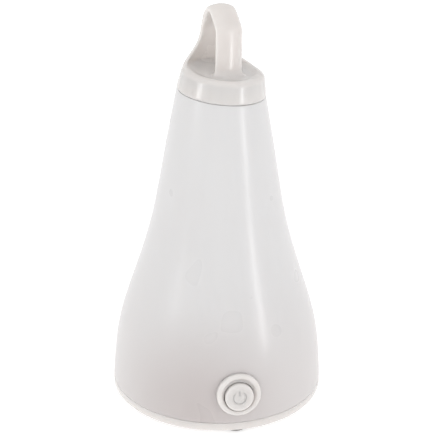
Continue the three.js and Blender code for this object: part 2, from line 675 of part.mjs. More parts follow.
const plateInside = footHeight + plateThickness;
const spigotRadius = baseRadius - shellWall - clearance;
const slotAngles = Array.from({ length: 9 }, (_, k) => k - 4);
const feet = around(4, footCircle, -Math.PI / 2);
const boardX = -6;
const boardY = 38;
const boardWidth = 46;
const boardDepth = 30;
const boardLow = 16;
const boardPosts = [[boardX - boardWidth / 2 + 4, boardY], [boardX + boardWidth / 2 - 4, boardY]];
const fanPosts = [0, 2].map((corner) => [fanX + fanScrews[corner][0], fanScrews[corner][1]]);
const hollow = (list, radius, low, high) => list.map(([x, y]) => cylinder(radius, low, high, tiny)
  .translate(x, y, 0));
add('base_plate', cut(
  join(
    turned([[0, footHeight], [baseRadius, footHeight, 3], [baseRadius, seamHeight, 0.5],
      [spigotRadius, seamHeight], [spigotRadius, seamHeight + 3], [spigotRadius - 2, seamHeight + 3],
      [spigotRadius - 2, plateInside], [0, plateInside]]),
    ...posts.map(([x, y]) => cylinder(postRadius + 1.5, footHeight + 1, postBottom - clearance, small)
      .translate(x, y, 0)),
    ...boardPosts.map(([x, y]) => cylinder(3.5, footHeight + 1, boardLow - clearance, tiny).translate(x, y, 0)),
    ...fanPosts.map(([x, y]) => cylinder(4, footHeight + 1, fanBottom - clearance, tiny).translate(x, y, 0)),
  ),
  ...posts.map(([x, y]) => cylinder(screwRadius + clearance, 0, postBottom + 1, tiny).translate(x, y, 0)),
  ...posts.map(([x, y]) => cylinder(headRadius + clearance, 0, footHeight + 4.5, small).translate(x, y, 0)),
  ...hollow(boardPosts, 1.3 + clearance, plateInside, boardLow),
  ...hollow(fanPosts, 1.3 + clearance, plateInside, fanBottom),
  ...feet.map(([x, y]) => cylinder(footRadius + clearance, footHeight - 1, footHeight + 1, small)
    .translate(x, y, 0)),
  ...slotAngles.map((k) => block(2.4, Math.sqrt(20 ** 2 - (4.4 * k) ** 2) * 2 - 6, footHeight - 1, plateInside + 1,
    fanX + 4.4 * k, 0)),
), glossWhite);

feet.forEach(([x, y], index) => {
  add(`foot_${index + 1}`, turned([[0, 0], [footRadius - 0.6, 0], [footRadius, 0.8],
    [footRadius, footHeight + 1 - clearance], [0, footHeight + 1 - clearance]], small),
  rubber, humidifier, [x, y, 0]);
});
posts.forEach(([x, y], index) => {
  add(`base_screw_${index + 1}`, cut(
    join(
      cylinder(headRadius, footHeight + 2, footHeight + 4.5 - clearance, small),
      cylinder(screwRadius, footHeight + 4, postBottom + 10, tiny),
    ),
    block(4, 0.9, footHeight + 1, footHeight + 3),
    block(0.9, 4, footHeight + 1, footHeight + 3),
  ), steel, humidifier, [x, y, 0]);
});

// ---------------------------------------------------------------- driver board and power inlet

const boardTop = boardLow + 1.6;
add('driver_board', cut(
  block(boardWidth, boardDepth, boardLow, boardTop, boardX, boardY),
  ...hollow(boardPosts, 1.3 + clearance, boardLow - 1, boardTop + 1),
), boardGreen);
boardPosts.forEach(([x, y], index) => {
  add(`board_screw_${index + 1}`, join(
    cylinder(2.6, boardTop + clearance, boardTop + 2, tiny),
    cylinder(1.3, boardLow - 9, boardTop + 1, tiny),
  ), steel, humidifier, [x, y, 0]);
});
const onBoard = boardTop + clearance;
const fins = Array.from({ length: 5 }, (_, k) => block(1.2, 9, onBoard, onBoard + 16, -7 + 3.5 * k, 0));
add('heat_sink', join(block(16.4, 1.6, onBoard, onBoard + 16, 0, -4.5), ...fins), aluminium, humidifier,
  [boardX, boardY + 8, 0]);
add('coil', turned([[0, onBoard], [6, onBoard], [6, onBoard + 1.2], [4.8, onBoard + 1.2, 0.4],
  [4.8, onBoard + 8, 0.4], [6, onBoard + 8], [6, onBoard + 9.2], [0, onBoard + 9.2]], small),
copper, humidifier, [boardX - 5.5, boardY - 7.5, 0]);
add('capacitor', turned([[0, onBoard], [4, onBoard, 0.5], [4, onBoard + 12, 0.6], [0, onBoard + 12]], small),
  blackPlastic, humidifier, [boardX + 8, boardY - 8, 0]);
const connectorY = boardY - boardDepth / 2 + 3.5;
add('fan_connector', block(5, 5, onBoard, onBoard + 6, boardX + 18.5, connectorY), innerWhite);
add('disc_connector', block(5, 5, onBoard, onBoard + 6, boardX - 18.5, connectorY), innerWhite);

const jackWall = bellRadius(jackHeight);
const jackLength = 16;
const jackSeat = shellWall + 2; // back of the wall, from its outside
add('dc_jack', cut(
  join(
    block(11, jackLength - jackSeat, -5.5, 5.5, 0, -(jackLength + jackSeat) / 2),
    cylinder(jackBarrel, -jackSeat - 1, 0.4, medium).rotateX(-Math.PI / 2),
  ),
  cylinder(3.1, -11, 3, small).rotateX(-Math.PI / 2),
), blackPlastic, humidifier, [0, jackWall, jackHeight]);
add('jack_pin', cylinder(1, -10.6, -1, tiny).rotateX(-Math.PI / 2), steel, humidifier, [0, jackWall, jackHeight]);

// ---------------------------------------------------------------- power button

// Frame of the button: origin on the bell's wall, Z straight out of the wall.
const front = new THREE.Group();
front.position.set(0, -buttonWall, buttonHeight);
front.rotation.set(Math.PI / 2 - buttonTilt, 0, 0);
humidifier.add(front);

const behind = new THREE.Group(); // the same for the button itself and for its switch
behind.position.set(0, -buttonDrop, 0);
front.add(behind);

const bezelBore = buttonRadius + slide;
const wallDrop = bezelRadius ** 2 / (2 * buttonWall); // how far the round wall falls away at the bezel's edge
const hole = buttonRadius + 2.6;
/** Bell's outside, grown by the clearance, in the button's frame: it trims the bezel's back. */
const bellBody = () => {
  humidifier.updateMatrixWorld(true);
  return bellSolid(-clearance, buttonHeight - 2 * bezelRadius, buttonHeight + 2 * bezelRadius)
    .applyMatrix4(front.matrixWorld.clone().invert());
};
const bezelSkirt = shellWall + 3;
add('button_bezel', cut(
  join(
    cut(
      turned([[0, -wallDrop - 2], [bezelRadius, -wallDrop - 2], [bezelRadius, bezelProud - 0.6, 0.5],
        [bezelRadius - 1.2, bezelProud, 0.5], [buttonRadius, bezelProud - 1.3], [0, bezelProud - 1.3]], round),
      bellBody(),
    ),
    cylinder(hole - clearance - 0.2, -bezelSkirt, 0.8, round).translate(0, -buttonDrop, 0),
  ),
  cylinder(bezelBore, -bezelSkirt - 1, bezelProud + 1, round).translate(0, -buttonDrop, 0),
), glossWhite, front);
const buttonSkirt = 9;
add('power_button', join(
  cut(
    turned([[0, -buttonSkirt], [buttonRadius, -buttonSkirt], [buttonRadius, buttonProud - 0.2, 1],
      [0, buttonProud]], round),
    cylinder(buttonRadius - 1.6, -buttonSkirt - 1, buttonProud - 2, medium),
  ),
  cylinder(2.2, -buttonSkirt, buttonProud - 1, 16),
), glossWhite, behind);

const switchGap = clearance;
const plungerTop = -buttonSkirt - switchGap;
const switchTop = plungerTop - buttonTravel - 0.6;
const switchLow = switchTop - 4;
add('switch_plunger', cylinder(1.6, switchTop - 2, plungerTop, 16), blackPlastic, behind);
add('switch_body', cut(
  block(6, 6, switchLow, switchTop),
  cylinder(1.6 + clearance, switchTop - 2 - buttonTravel - 0.4, switchTop + 1, 16),
), blackPlastic, behind);
add('switch_board', block(24, 16, switchLow - clearance - 1.6, switchLow - clearance), boardGreen, behind);
add('pilot_lamp', turned([[0, switchLow], [1.5, switchLow], [1.5, switchLow + 3, 1], [0, switchLow + 4]], 16),
  lensWhite, behind, [7, 0, 0]);

// ---------------------------------------------------------------- leads inside the base

const discLow = discMiddle - discThickness / 2;
add('disc_lead', cable(0.9, [0, 2, discLow - clearance - 0.9], [-2, 6, discLow - 9], [-14, 16, 38],
  [boardX - 18.5, connectorY, onBoard + 7.3]), cableGrey);
add('fan_lead', cable(0.9, [fanX - 6, fanSize / 2 + 1.6, fanBottom + 4], [fanX - 9, fanSize / 2 + 3, fanBottom + 10],
  [boardX + 18.5, connectorY, onBoard + 7.3]), cableGrey);

export default humidifier;
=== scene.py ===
# %% [markdown]
# # A cool mist humidifier
#
# A milky bell holds the water and stands on a round base with the electronics. A cap with a carrying
# loop screws on its slanted neck, and one round button sits low on the front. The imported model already
# has every piece at its real size and place. This lesson gives the pieces that show their fine shape,
# and gives everything a finish. Lengths in the text are in millimetres, in the scene in metres.

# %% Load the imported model
import json
import math
import bmesh
import bpy
import numpy as np
from mathutils import Matrix, Vector


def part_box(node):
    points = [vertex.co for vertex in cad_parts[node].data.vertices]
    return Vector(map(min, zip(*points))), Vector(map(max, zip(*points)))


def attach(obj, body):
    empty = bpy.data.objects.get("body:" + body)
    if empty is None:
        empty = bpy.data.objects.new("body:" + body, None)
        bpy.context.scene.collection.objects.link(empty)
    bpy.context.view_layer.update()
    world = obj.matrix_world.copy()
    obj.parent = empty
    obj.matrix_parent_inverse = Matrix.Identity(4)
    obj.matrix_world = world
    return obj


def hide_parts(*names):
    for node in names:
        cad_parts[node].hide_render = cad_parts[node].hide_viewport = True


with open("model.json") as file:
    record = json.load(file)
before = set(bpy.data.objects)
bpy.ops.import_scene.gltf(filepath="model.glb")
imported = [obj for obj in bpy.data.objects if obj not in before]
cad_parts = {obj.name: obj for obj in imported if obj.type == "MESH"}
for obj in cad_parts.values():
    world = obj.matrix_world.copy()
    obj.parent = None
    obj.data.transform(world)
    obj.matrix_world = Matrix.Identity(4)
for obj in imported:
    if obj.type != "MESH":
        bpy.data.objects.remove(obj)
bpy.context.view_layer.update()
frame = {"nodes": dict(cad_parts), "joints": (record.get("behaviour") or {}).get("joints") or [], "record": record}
nodes = frame["nodes"]
joints = {joint["name"]: joint for joint in frame["joints"]}
scene = bpy.context.scene
MM = 0.001

# %% [markdown]
# ## Camera
#
# A table-top shot from slightly above with a long lens. The camera is built from three directions at
# right angles (right, up, back), because a tiny roll is then one more rotation instead of a guess at
# Euler angles. It stands 12 degrees to the left of the button.

# %% Camera
CAMERA_AZIMUTH = math.radians(-12)
CAMERA_ELEVATION = math.radians(23.76)
CAMERA_DISTANCE = 1.033
LENS_LENGTH, FILM_WIDTH = 121.46, 36
AIM = Vector((0, 0, 0.1291))
AIM_SIDE, AIM_UP, ROLL = math.radians(0.03), math.radians(0.08), math.radians(-0.80)

level = Matrix((
    (1, 0, 0),
    (0, math.sin(CAMERA_ELEVATION), -math.cos(CAMERA_ELEVATION)),
    (0, math.cos(CAMERA_ELEVATION), math.sin(CAMERA_ELEVATION)),
))
stand = AIM + Matrix.Rotation(CAMERA_AZIMUTH, 3, "Z") @ (level.col[2] * CAMERA_DISTANCE)
looking = level.copy()
for angle, column, sign in ((AIM_SIDE, 1, 1), (AIM_UP, 0, 1), (ROLL, 2, -1)):
    looking = Matrix.Rotation(angle, 3, looking.col[column] * sign) @ looking
looking = Matrix.Rotation(CAMERA_AZIMUTH, 3, "Z") @ looking
lens = bpy.data.cameras.new("camera")
lens.lens, lens.sensor_width = LENS_LENGTH, FILM_WIDTH
lens.clip_end = 20
camera = bpy.data.objects.new("camera", lens)
camera.matrix_world = Matrix.Translation(stand) @ looking.to_4x4()
scene.collection.objects.link(camera)
scene.camera = camera
print("camera stands at", [round(value, 3) for value in stand])

# %% [markdown]
# ## Light and floor
#
# White plastic shows its shape by what it mirrors. A white room would make it flat, so the room is pale
# grey. A large soft panel overhead and a wide one at each side model the form. Two small panels are there
# for their mirror images: a bright stripe down the neck at the right and a weaker one at the left.

# %% Light and floor
ROOM_STRENGTH, FLOOR_RADIUS = 0.82, 6
AIM_HEIGHT = 0.13  # the panels face this height

scene.view_settings.view_transform = "Standard"
scene.view_settings.look = "None"
room = bpy.data.worlds.new("room")
room.use_nodes = True
room.node_tree.nodes["Background"].inputs["Color"].default_value = (1.0, 1.0, 1.0, 1)
room.node_tree.nodes["Background"].inputs["Strength"].default_value = ROOM_STRENGTH
scene.world = room


def panel(name, azimuth, height, distance, width, tall, power, colour=(1, 1, 1)):
    """A soft box round the object; azimuth counts from the camera's side, to the right."""
    light = bpy.data.lights.new(name, "AREA")
    light.shape, light.size, light.size_y = "RECTANGLE", width, tall
    light.energy, light.color = power, colour
    turn = CAMERA_AZIMUTH + math.radians(azimuth)
    place = Vector((math.sin(turn) * distance, -math.cos(turn) * distance, height))
    lamp = bpy.data.objects.new(name, light)
    lamp.matrix_world = Matrix.Translation(place) @ (Vector((0, 0, AIM_HEIGHT)) - place).to_track_quat(
        "-Z", "Y").to_matrix().to_4x4()
    scene.collection.objects.link(lamp)
    print("light", name, [round(value, 2) for value in place])


panel("overhead", azimuth=15, height=1.9, distance=0.5, width=1.6, tall=1.6, power=5)
panel("stripe", azimuth=54, height=0.16, distance=1.2, width=0.13, tall=0.30, power=1.2)
panel("right_fill", azimuth=58, height=0.7, distance=1.6, width=0.9, tall=1.0, power=1.7,
      colour=(0.98, 0.97, 1.0))
panel("left_fill", azimuth=-52, height=0.8, distance=1.6, width=0.9, tall=1.0, power=2.0,
      colour=(1.0, 0.99, 0.97))
panel("left_stripe", azimuth=-58, height=0.35, distance=1.2, width=0.26, tall=0.22, power=1.2)

bpy.ops.mesh.primitive_circle_add(vertices=96, radius=FLOOR_RADIUS, fill_type="NGON", location=(0, 0, 0))
floor = bpy.context.object
floor.name = "floor"
print("floor reaches", FLOOR_RADIUS, "m")

# %% [markdown]
# ## A small language for finishes
#
# A finish is a tree of shader nodes. Written by hand it is long, so two small classes help. `Value`
# wraps a socket that carries a number, and sums and products of it add Math nodes. `Finish` holds one
# material: its method `node` makes any other node, settings first, then the values or links of sockets.

# %% Classes for finishes
class Value:
    """A number on its way through a material."""

    def __init__(self, finish, socket):
        self.finish, self.socket = finish, socket

    def _math(self, operation, first, second):
        made = self.finish.node("ShaderNodeMath", {"operation": operation}, {0: first, 1: second})
        return Value(self.finish, made.outputs[0])

    def __add__(self, other): return self._math("ADD", self, other)
    def __radd__(self, other): return self._math("ADD", other, self)
    def __sub__(self, other): return self._math("SUBTRACT", self, other)
    def __rsub__(self, other): return self._math("SUBTRACT", other, self)
    def __mul__(self, other): return self._math("MULTIPLY", self, other)
    def __rmul__(self, other): return self._math("MULTIPLY", other, self)

    def spread(self, low, high):
        """0 up to low, 1 from high on, smooth between."""
        made = self.finish.node("ShaderNodeMapRange", {"interpolation_type": "SMOOTHSTEP"},
                                {"Value": self, "From Min": low, "From Max": high})
        return Value(self.finish, made.outputs[0])


class Finish:
    """One material in the making."""

    def __init__(self, name):
        self.material = bpy.data.materials.new(name)
        self.material.use_nodes = True
        self.tree = self.material.node_tree
        self.tree.nodes.clear()
        self.place = self.node("ShaderNodeTexCoord").outputs["Object"]

    def node(self, kind, settings=None, sockets=None):
        made = self.tree.nodes.new(kind)
        for name, value in (settings or {}).items():
            setattr(made, name, value)
        for name, value in (sockets or {}).items():
            value = value.socket if isinstance(value, Value) else value
            if isinstance(value, bpy.types.NodeSocket):
                self.tree.links.new(value, made.inputs[name])
            else:
                made.inputs[name].default_value = value
        return made

    def noise(self, per_metre, detail=3.0, stretch=(1, 1, 1)):
        """Cloudy pattern with that many clouds in a metre."""
        at = self.node("ShaderNodeMapping", {}, {"Vector": self.place, "Scale": stretch})
        made = self.node("ShaderNodeTexNoise", {}, {"Vector": at.outputs[0], "Scale": per_metre,
                                                    "Detail": detail})
        return Value(self, made.outputs["Fac"])

    def height(self):
        """Height above the table, in metres."""
        return Value(self, self.node("ShaderNodeSeparateXYZ", {}, {0: self.place}).outputs["Z"])

    def blend(self, share, first, second):
        """A colour between two, by share."""
        made = self.node("ShaderNodeMix", {"data_type": "RGBA"}, {0: share, 6: first, 7: second})
        return made.outputs[2]

    def bump(self, relief, depth, below=None):
        """Relief of that depth in metres."""
        sockets = {"Height": relief, "Distance": depth, "Strength": 1.0}
        if below:
            sockets["Normal"] = below
        return self.node("ShaderNodeBump", {}, sockets).outputs[0]

    def done(self, colour, roughness, normal, **fixed):
        """Ends the tree in a Principled shader; fixed are its sockets that are the same all over."""
        sockets = {"Base Color": colour, "Roughness": roughness, "Normal": normal}
        sockets.update({name.replace("_", " "): value for name, value in fixed.items()})
        shader = self.node("ShaderNodeBsdfPrincipled", {}, sockets)
        self.node("ShaderNodeOutputMaterial", {}, {"Surface": shader.outputs[0]})
        return self.material


def rgba(hex_colour, scale=1.0):
    """Linear colour from a hex code."""
    parts = [int(hex_colour[index:index + 2], 16) / 255 for index in (0, 2, 4)]
    return tuple(scale * ((part + 0.055) / 1.055) ** 2.4 for part in parts) + (1,)


print("mid grey as a linear colour:", rgba("808080"))


# %% [markdown]
# ## Moulded plastic
#
# Moulded plastic is never quite even. The resin flows, so the tone drifts over centimetres; the skin
# has a fine orange peel; handling leaves faint dull patches. One function makes the opaque plastics, and
# each kind differs in colour, gloss, grain and how deep light goes in. The bell has its own, because its
# wall is milky: it is warmer and greyer low down, and a painted shade darkens a soft spot on its front.

# %% Plastics
def moulded(name, tone, shade, gloss, peel=0.00001, grain=0.0, **fixed):
    """Plastic: two close tones, roughness about gloss, an orange peel and a fine grain."""
    finish = Finish(name)
    cloud = finish.noise(9, 4)
    speck = finish.noise(2600, 2).spread(0.66, 0.74)
    colour = finish.blend(cloud.spread(0.3, 0.7), rgba(tone), rgba(shade))
    colour = finish.blend(speck * 0.10, colour, rgba(shade, 0.7))
    dull = finish.noise(38, 4).spread(0.3, 0.8)
    roughness = gloss + dull * 0.07
    normal = finish.bump(finish.noise(170, 2), peel)
    if grain:
        normal = finish.bump(finish.noise(3400, 2), grain, normal)
    return finish.done(colour, roughness, normal, **fixed)


PAINTED_SHADE_SPOT = (-0.028, -0.070, 0.022)  # painted shade: middle of a soft darker spot low on the front, left of the button


def milky_bell():
    """The bell: milky, a little warmer and greyer towards the bottom, with a painted shade low on the front."""
    finish = Finish("milky_plastic")
    height = finish.height()
    cloud = finish.noise(7, 1).spread(0.2, 0.8)
    colour = finish.blend(cloud, rgba("d5d4d4"), rgba("d2d0d0"))
    colour = finish.blend((1 - height.spread(0.0, 0.12)) * 0.6, colour, rgba("c6bfbd"))
    # painted shade: round that spot the bell's colour darkens towards b0a6a4
    away = finish.node("ShaderNodeVectorMath", {"operation": "DISTANCE"}, {0: finish.place, 1: PAINTED_SHADE_SPOT})
    near = 1 - Value(finish, away.outputs["Value"]).spread(0.0, 0.075)
    colour = finish.blend(near * 0.55, colour, rgba("b0a6a4"))
    streak = finish.noise(26, 1, (1, 1, 0.12)).spread(0.2, 0.9)
    colour = finish.blend(streak * 0.12, colour, rgba("c9c6c6"))
    roughness = 0.27 + finish.noise(30, 1).spread(0.2, 0.9) * 0.04
    normal = finish.bump(finish.noise(90, 2), 0.00003)
    normal = finish.bump(finish.noise(700, 2), 0.000003, normal)
    return finish.done(colour, roughness, normal, IOR=1.5, Subsurface_Weight=0.35,
                       Subsurface_Radius=(0.9, 0.85, 0.8), Subsurface_Scale=0.006, Specular_IOR_Level=0.4,
                       Coat_Weight=0.12, Coat_Roughness=0.16)


looks = {
    "milky": milky_bell(),
    "gloss_white": moulded("gloss_white_plastic", "d9d5d2", "d4cfcc", 0.22, 0.00002, IOR=1.5,
                           Subsurface_Weight=0.8, Subsurface_Radius=(1.0, 0.95, 0.92),
                           Subsurface_Scale=0.007, Coat_Weight=0.2, Coat_Roughness=0.14),
    "inner_white": moulded("inner_white_plastic", "eceae6", "e2dfd9", 0.42, 0.00002, 0.000004, IOR=1.48),
    "silicone": moulded("pale_silicone", "d3d3cf", "c4c3be", 0.62, 0.00002, 0.000006, IOR=1.42,
                        Subsurface_Weight=0.2, Subsurface_Radius=(1, 1, 0.9), Subsurface_Scale=0.002),
    "rubber": moulded("grey_rubber", "8d8a88", "7e7b79", 0.78, 0.00004, 0.00002, IOR=1.5),
    "black_plastic": moulded("black_plastic", "1f2022", "17181a", 0.45, 0.00002, 0.00001, IOR=1.5),
    "cable_grey": moulded("cable_sheath", "3e4043", "34363a", 0.55, 0.00001, 0.00001, IOR=1.5),
    "lens_white": moulded("lamp_lens", "f4f2ea", "e9e6da", 0.12, 0.000005, IOR=1.5, Subsurface_Weight=0.6,
                          Subsurface_Radius=(1, 1, 1), Subsurface_Scale=0.002),
}
print("plastics:", sorted(looks))

# %% [markdown]
# ## Metals and the board
#
# Metals get a stretched noise for their drawing or rolling lines, which feeds roughness and bump. The
# board's green mask shows copper tracks as slightly raised, lighter bands.

# %% Metals and board
def metal(name, tone, shade, gloss, lines=(1, 1, 14), depth=0.000004):
    """Metal with lines that run along the axis where lines is small."""
    finish = Finish(name)
    rolled = finish.noise(900, 4, lines)
    colour = finish.blend(finish.noise(120, 4).spread(0.35, 0.7), rgba(tone), rgba(shade))
    roughness = gloss + rolled * 0.14 + finish.noise(220, 3).spread(0.5, 0.8) * 0.10
    return finish.done(colour, roughness, finish.bump(rolled, depth), Metallic=1.0)


def board_mask():
    """Green lacquer over copper tracks."""
    finish = Finish("board_mask")
    wave = finish.node("ShaderNodeTexWave", {"bands_direction": "X", "wave_profile": "SIN"},
                       {"Vector": finish.place, "Scale": 130.0, "Distortion": 3.0, "Detail Scale": 0.6})
    tracks = Value(finish, wave.outputs["Fac"]).spread(0.62, 0.74)
    colour = finish.blend(tracks, rgba("2a6340"), rgba("3c7d52"))
    colour = finish.blend(finish.noise(90, 4).spread(0.4, 0.8) * 0.3, colour, rgba("1f4e32"))
    roughness = 0.30 + finish.noise(300, 3) * 0.12
    return finish.done(colour, roughness, finish.bump(tracks, 0.00003), IOR=1.5)


looks["steel"] = metal("zinc_steel", "c2c5c9", "a9adb2", 0.24)
looks["brass"] = metal("brass_electrode", "d0ab62", "b98f49", 0.26, (1, 1, 1))
looks["copper"] = metal("copper_winding", "bf7445", "9c5b35", 0.30, (1, 1, 30), 0.00008)
looks["aluminium"] = metal("drawn_aluminium", "cdd0d3", "b9bcc0", 0.30)
looks["board_green"] = board_mask()
slots = {part["node"]: part["material_slot"] for part in frame["record"]["subparts"]}
for name, piece in nodes.items():
    piece.data.materials.clear()
    piece.data.materials.append(looks[slots[name]])
print("finishes:", len(looks))

# %% [markdown]
# ## The table
#
# A white table under soft light would still show a grey pool round the base. Matt paper that also glows
# a little keeps it white, and the glow fills the underside of the bell as a real white table does.

# %% Floor's finish
FLOOR_GLOW = 0.56
pale = Finish("pale_table")
cloud = pale.noise(3, 4)
floor.data.materials.append(pale.done(
    pale.blend(cloud, (0.60, 0.60, 0.60, 1), (0.62, 0.62, 0.62, 1)), 0.6 + cloud * 0.1,
    pale.bump(pale.noise(400, 3), 0.00002), Emission_Color=(1, 1, 1, 1), Emission_Strength=FLOOR_GLOW))
print("floor finish:", floor.data.materials[0].name)

# %% [markdown]
# ## Tools for fine shapes
#
# Most pieces here are turned or lofted: a closed outline that goes round an axis, or a row of closed
# sections skinned one to the next. Two helpers build such meshes directly, so poles and seams are closed
# and faces point out by construction. Other helpers round an outline's corners and cut or join meshes.

# %% Tools for fine shapes
def ready(name, mesh, body, look, *stands_for):
    """Puts a finished mesh in the scene, on its body, with its finish, in place of CAD nodes."""
    piece = bpy.data.objects.new(name, mesh)
    scene.collection.objects.link(piece)
    mesh.materials.clear()
    mesh.materials.append(looks[look])
    if body:
        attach(piece, body)
    if stands_for:
        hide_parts(*stands_for)
    print("made", name, "with", len(mesh.polygons), "faces")
    return piece


def loft(rings, closed=False, place=Matrix.Identity(4)):
    """Closed skin over sections with the same number of points; closed joins the last to the first."""
    rings = [[place @ Vector(point) for point in ring] for ring in rings]
    mesh = bpy.data.meshes.new("loft")
    count = len(rings[0])
    points = [point * MM for ring in rings for point in ring]
    faces = []
    for row in range(len(rings) if closed else len(rings) - 1):
        low, high = row * count, (row + 1) % len(rings) * count
        faces += [(low + k, low + (k + 1) % count, high + (k + 1) % count, high + k) for k in range(count)]
    if not closed:
        faces += [tuple(range(count))[::-1], tuple(range((len(rings) - 1) * count, len(rings) * count))]
    mesh.from_pydata(points, [], faces)
    shape = bmesh.new()
    shape.from_mesh(mesh)
    bmesh.ops.remove_doubles(shape, verts=shape.verts, dist=1e-7)
    bmesh.ops.recalc_face_normals(shape, faces=shape.faces)
    if shape.calc_volume(signed=True) < 0:
        bmesh.ops.reverse_faces(shape, faces=shape.faces)
    shape.to_mesh(mesh)
    shape.free()
    mesh.polygons.foreach_set("use_smooth", [True] * len(mesh.polygons))
    return mesh


def rounded(corners, steps=6):
    """Outline through corners (x, z, radius); each radius becomes an arc."""
    outline = []
    for index, corner in enumerate(corners):
        here = Vector(corner[:2])
        radius = corner[2] if len(corner) > 2 else 0
        if not radius:
            outline.append(tuple(here))
            continue
        back = (Vector(corners[index - 1][:2]) - here).normalized()
        ahead = (Vector(corners[(index + 1) % len(corners)][:2]) - here).normalized()
        half = back.angle(ahead) / 2
        start, end = here + back * radius / math.tan(half), here + ahead * radius / math.tan(half)
        centre = here + (back + ahead).normalized() * radius / math.sin(half)
        first, last = start - centre, end - centre
        sweep = math.atan2(first.cross(last), first.dot(last))
        outline += [tuple(centre + Matrix.Rotation(sweep * step / steps, 2) @ first)
                    for step in range(steps + 1)]
    return outline


def turned(outline, sides=96, place=Matrix.Identity(4)):
    """Mesh of a closed outline (radius, height) turned round Z, then moved by place."""
    rings = []
    for side in range(sides):
        angle = 2 * math.pi * side / sides
        rings.append([(x * math.cos(angle), x * math.sin(angle), z) for x, z in outline])
    return loft(rings, True, place)


def evaluated(piece, name):
    """The mesh that a piece's modifiers give; the piece itself goes."""
    shown = piece.evaluated_get(bpy.context.evaluated_depsgraph_get())
    mesh = bpy.data.meshes.new_from_object(shown)
    mesh.name = name
    bpy.data.objects.remove(piece)
    return mesh


def combined(name, mesh, *others, operation="DIFFERENCE"):
    """Mesh with the others cut away from it, or joined to it."""
    piece = bpy.data.objects.new("blank", mesh)
    scene.collection.objects.link(piece)
    helpers = []
    for other in others:
        tool = bpy.data.objects.new("tool", other)
        scene.collection.objects.link(tool)
        helpers.append(tool)
        step = piece.modifiers.new("cut", "BOOLEAN")
        step.object, step.operation, step.solver = tool, operation, "EXACT"
    made = evaluated(piece, name)
    for tool in helpers:
        bpy.data.objects.remove(tool)
    return made


def crisp(mesh, degrees=32):
    """Smooth shading, with sharp edges where faces meet at more than an angle."""
    mesh.polygons.foreach_set("use_smooth", [True] * len(mesh.polygons))
    mesh.set_sharp_from_angle(angle=math.radians(degrees))
    return mesh


corner_points = rounded([(0, 0), (1, 0, 0.2), (1, 1), (0, 1)])
print("a square with one round corner has", len(corner_points), "points")


# %% [markdown]
# ## The bell
#
# The bell is blown from one piece: upright at the base, hollow above the belly, straight at the neck, and
# cut there at a slant. Two Bezier curves meet at the flare and give the outside. A plain revolved mesh
# cut by a plane would leave a ragged rim, so the rings slide: low down they are level, and towards the
# top they tilt until the last one lies in the cutting plane. The wall's inside follows at its thickness.

# %% The bell's curve
bell_low, bell_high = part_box("bell_shell")
SHELL_BOTTOM = bell_low.z / MM
BASE_RADIUS = bell_high.x / MM
NECK_HEIGHT, NECK_RADIUS = 224.8, 30.2
FLARE_HEIGHT, FLARE_RADIUS, FLARE_SLOPE = 95.6, 57.5, 0.322
SKIRT_SLOPE, NECK_SLOPE = 0.055, 0.19
SHELL_WALL = 2.5
LEAN = math.radians(5.2)
LEAN_AZIMUTH = math.radians(-12)
SEAM_GAP = 0.15
lower, upper = FLARE_HEIGHT - SHELL_BOTTOM, NECK_HEIGHT - FLARE_HEIGHT
bell_curves = (
    ((BASE_RADIUS, SHELL_BOTTOM), (BASE_RADIUS - SKIRT_SLOPE * 0.51 * lower, SHELL_BOTTOM + 0.51 * lower),
     (FLARE_RADIUS + FLARE_SLOPE * 0.42 * lower, FLARE_HEIGHT - 0.42 * lower), (FLARE_RADIUS, FLARE_HEIGHT)),
    ((FLARE_RADIUS, FLARE_HEIGHT), (FLARE_RADIUS - FLARE_SLOPE * 0.365 * upper, FLARE_HEIGHT + 0.365 * upper),
     (NECK_RADIUS + NECK_SLOPE * 0.61 * upper, NECK_HEIGHT - 0.61 * upper), (NECK_RADIUS, NECK_HEIGHT)),
)
shares = np.linspace(0, 1, 400)
weights = np.array([(1 - shares) ** 3, 3 * shares * (1 - shares) ** 2, 3 * shares ** 2 * (1 - shares),
                    shares ** 3]).T
curve_points = np.vstack([weights @ np.array(curve) for curve in bell_curves])
print("bell's curve:", len(curve_points), "points, neck", NECK_RADIUS, "base", round(BASE_RADIUS, 1))


def bell_radius(height):
    """Outside radius of the bell at a height; above the neck the slope runs on."""
    if height > NECK_HEIGHT:
        return NECK_RADIUS - NECK_SLOPE * (height - NECK_HEIGHT)
    return float(np.interp(height, curve_points[:, 1], curve_points[:, 0]))


# %% The bell
BELL_LANES, LEVEL_TOP, LOW_RINGS, HIGH_RINGS, BELL_EDGE = 224, 150.0, 70, 44, 0.25
DRILL_FROM, DRILL_TO, BUTTON_HOLE_MARGIN, JACK_HOLE = 45, 95, 2.6, 5.3
neck = (Matrix.Translation((0, 0, NECK_HEIGHT)) @ Matrix.Rotation(LEAN_AZIMUTH, 4, "Z")
        @ Matrix.Rotation(LEAN, 4, "Y"))
cap_axis = (neck.to_3x3() @ Vector((0, 0, 1))).normalized()


def seam_height(azimuth, offset, gap):
    """Height where the wall, moved in by offset, meets the slanted cut, at an azimuth."""
    height = NECK_HEIGHT
    for _ in range(12):
        radius = bell_radius(height) - offset
        slope = (cap_axis.x * math.cos(azimuth) + cap_axis.y * math.sin(azimuth)) / cap_axis.z
        height = NECK_HEIGHT - gap / cap_axis.z - slope * radius
    return height


